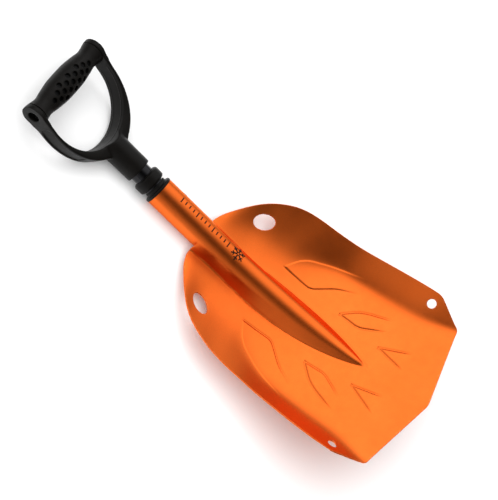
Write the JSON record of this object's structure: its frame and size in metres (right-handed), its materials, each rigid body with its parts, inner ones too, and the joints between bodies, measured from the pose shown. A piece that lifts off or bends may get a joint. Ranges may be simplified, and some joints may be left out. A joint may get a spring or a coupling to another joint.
{
  "type": "avalanche shovel",
  "caption": "Compact snow shovel: pressed aluminium scoop with raised wings on a short tube, and a telescoping D-handle locked by spring buttons.",
  "frame": {"origin": "middle of the footprint on the surface that the shovel lies on, on its back", "axes": "+Y along the shaft from the blade tip towards the grip, +Z out of the scooping side, +X to the right of both"},
  "size_m": [0.226, 0.5057, 0.0828],
  "materials": {
    "orange_anodised": "bead-blasted, orange anodised",
    "black_plastic": "fine moulded texture",
    "black_grip": "moulded, slightly softer than the bow",
    "black_anodised": "polished, black anodised",
    "plated_steel": "nickel plated",
    "spring_steel": "blued strip"
  },
  "bodies": {
    "blade": {"blade_sheet": "orange_anodised", "socket_tube": "orange_anodised", "socket_welds": "orange_anodised", "socket_plug": "black_plastic", "tube_bushing": "black_plastic"},
    "handle": {"handle_tube": "black_anodised", "handle_glide": "black_plastic", "stop_collar": "black_plastic", "collar_pin": "plated_steel", "sleeve_rivet": "plated_steel", "handle_bow": "black_plastic", "grip_cover": "black_grip", "stow_spring": "spring_steel", "extend_spring": "spring_steel"},
    "stow_button": {"stow_button": "plated_steel"},
    "extend_button": {"extend_button": "plated_steel"}
  },
  "joints": [
    {"name": "handle_slide", "type": "slide", "parent": "blade", "child": "handle", "axis": [0, 1, 0], "range_m": [0, 0.127], "deforming": ["stow_spring", "extend_spring", "stow_button", "extend_button"]},
    {"name": "stow_button_press", "type": "slide", "parent": "handle", "child": "stow_button", "axis": [-1, 0, 0], "range_m": [0, 0.0069], "stiffness_N_per_m": 700, "springref_m": -0.002},
    {"name": "extend_button_pop", "type": "slide", "parent": "handle", "child": "extend_button", "axis": [1, 0, 0], "range_m": [0, 0.0069]}
  ]
}
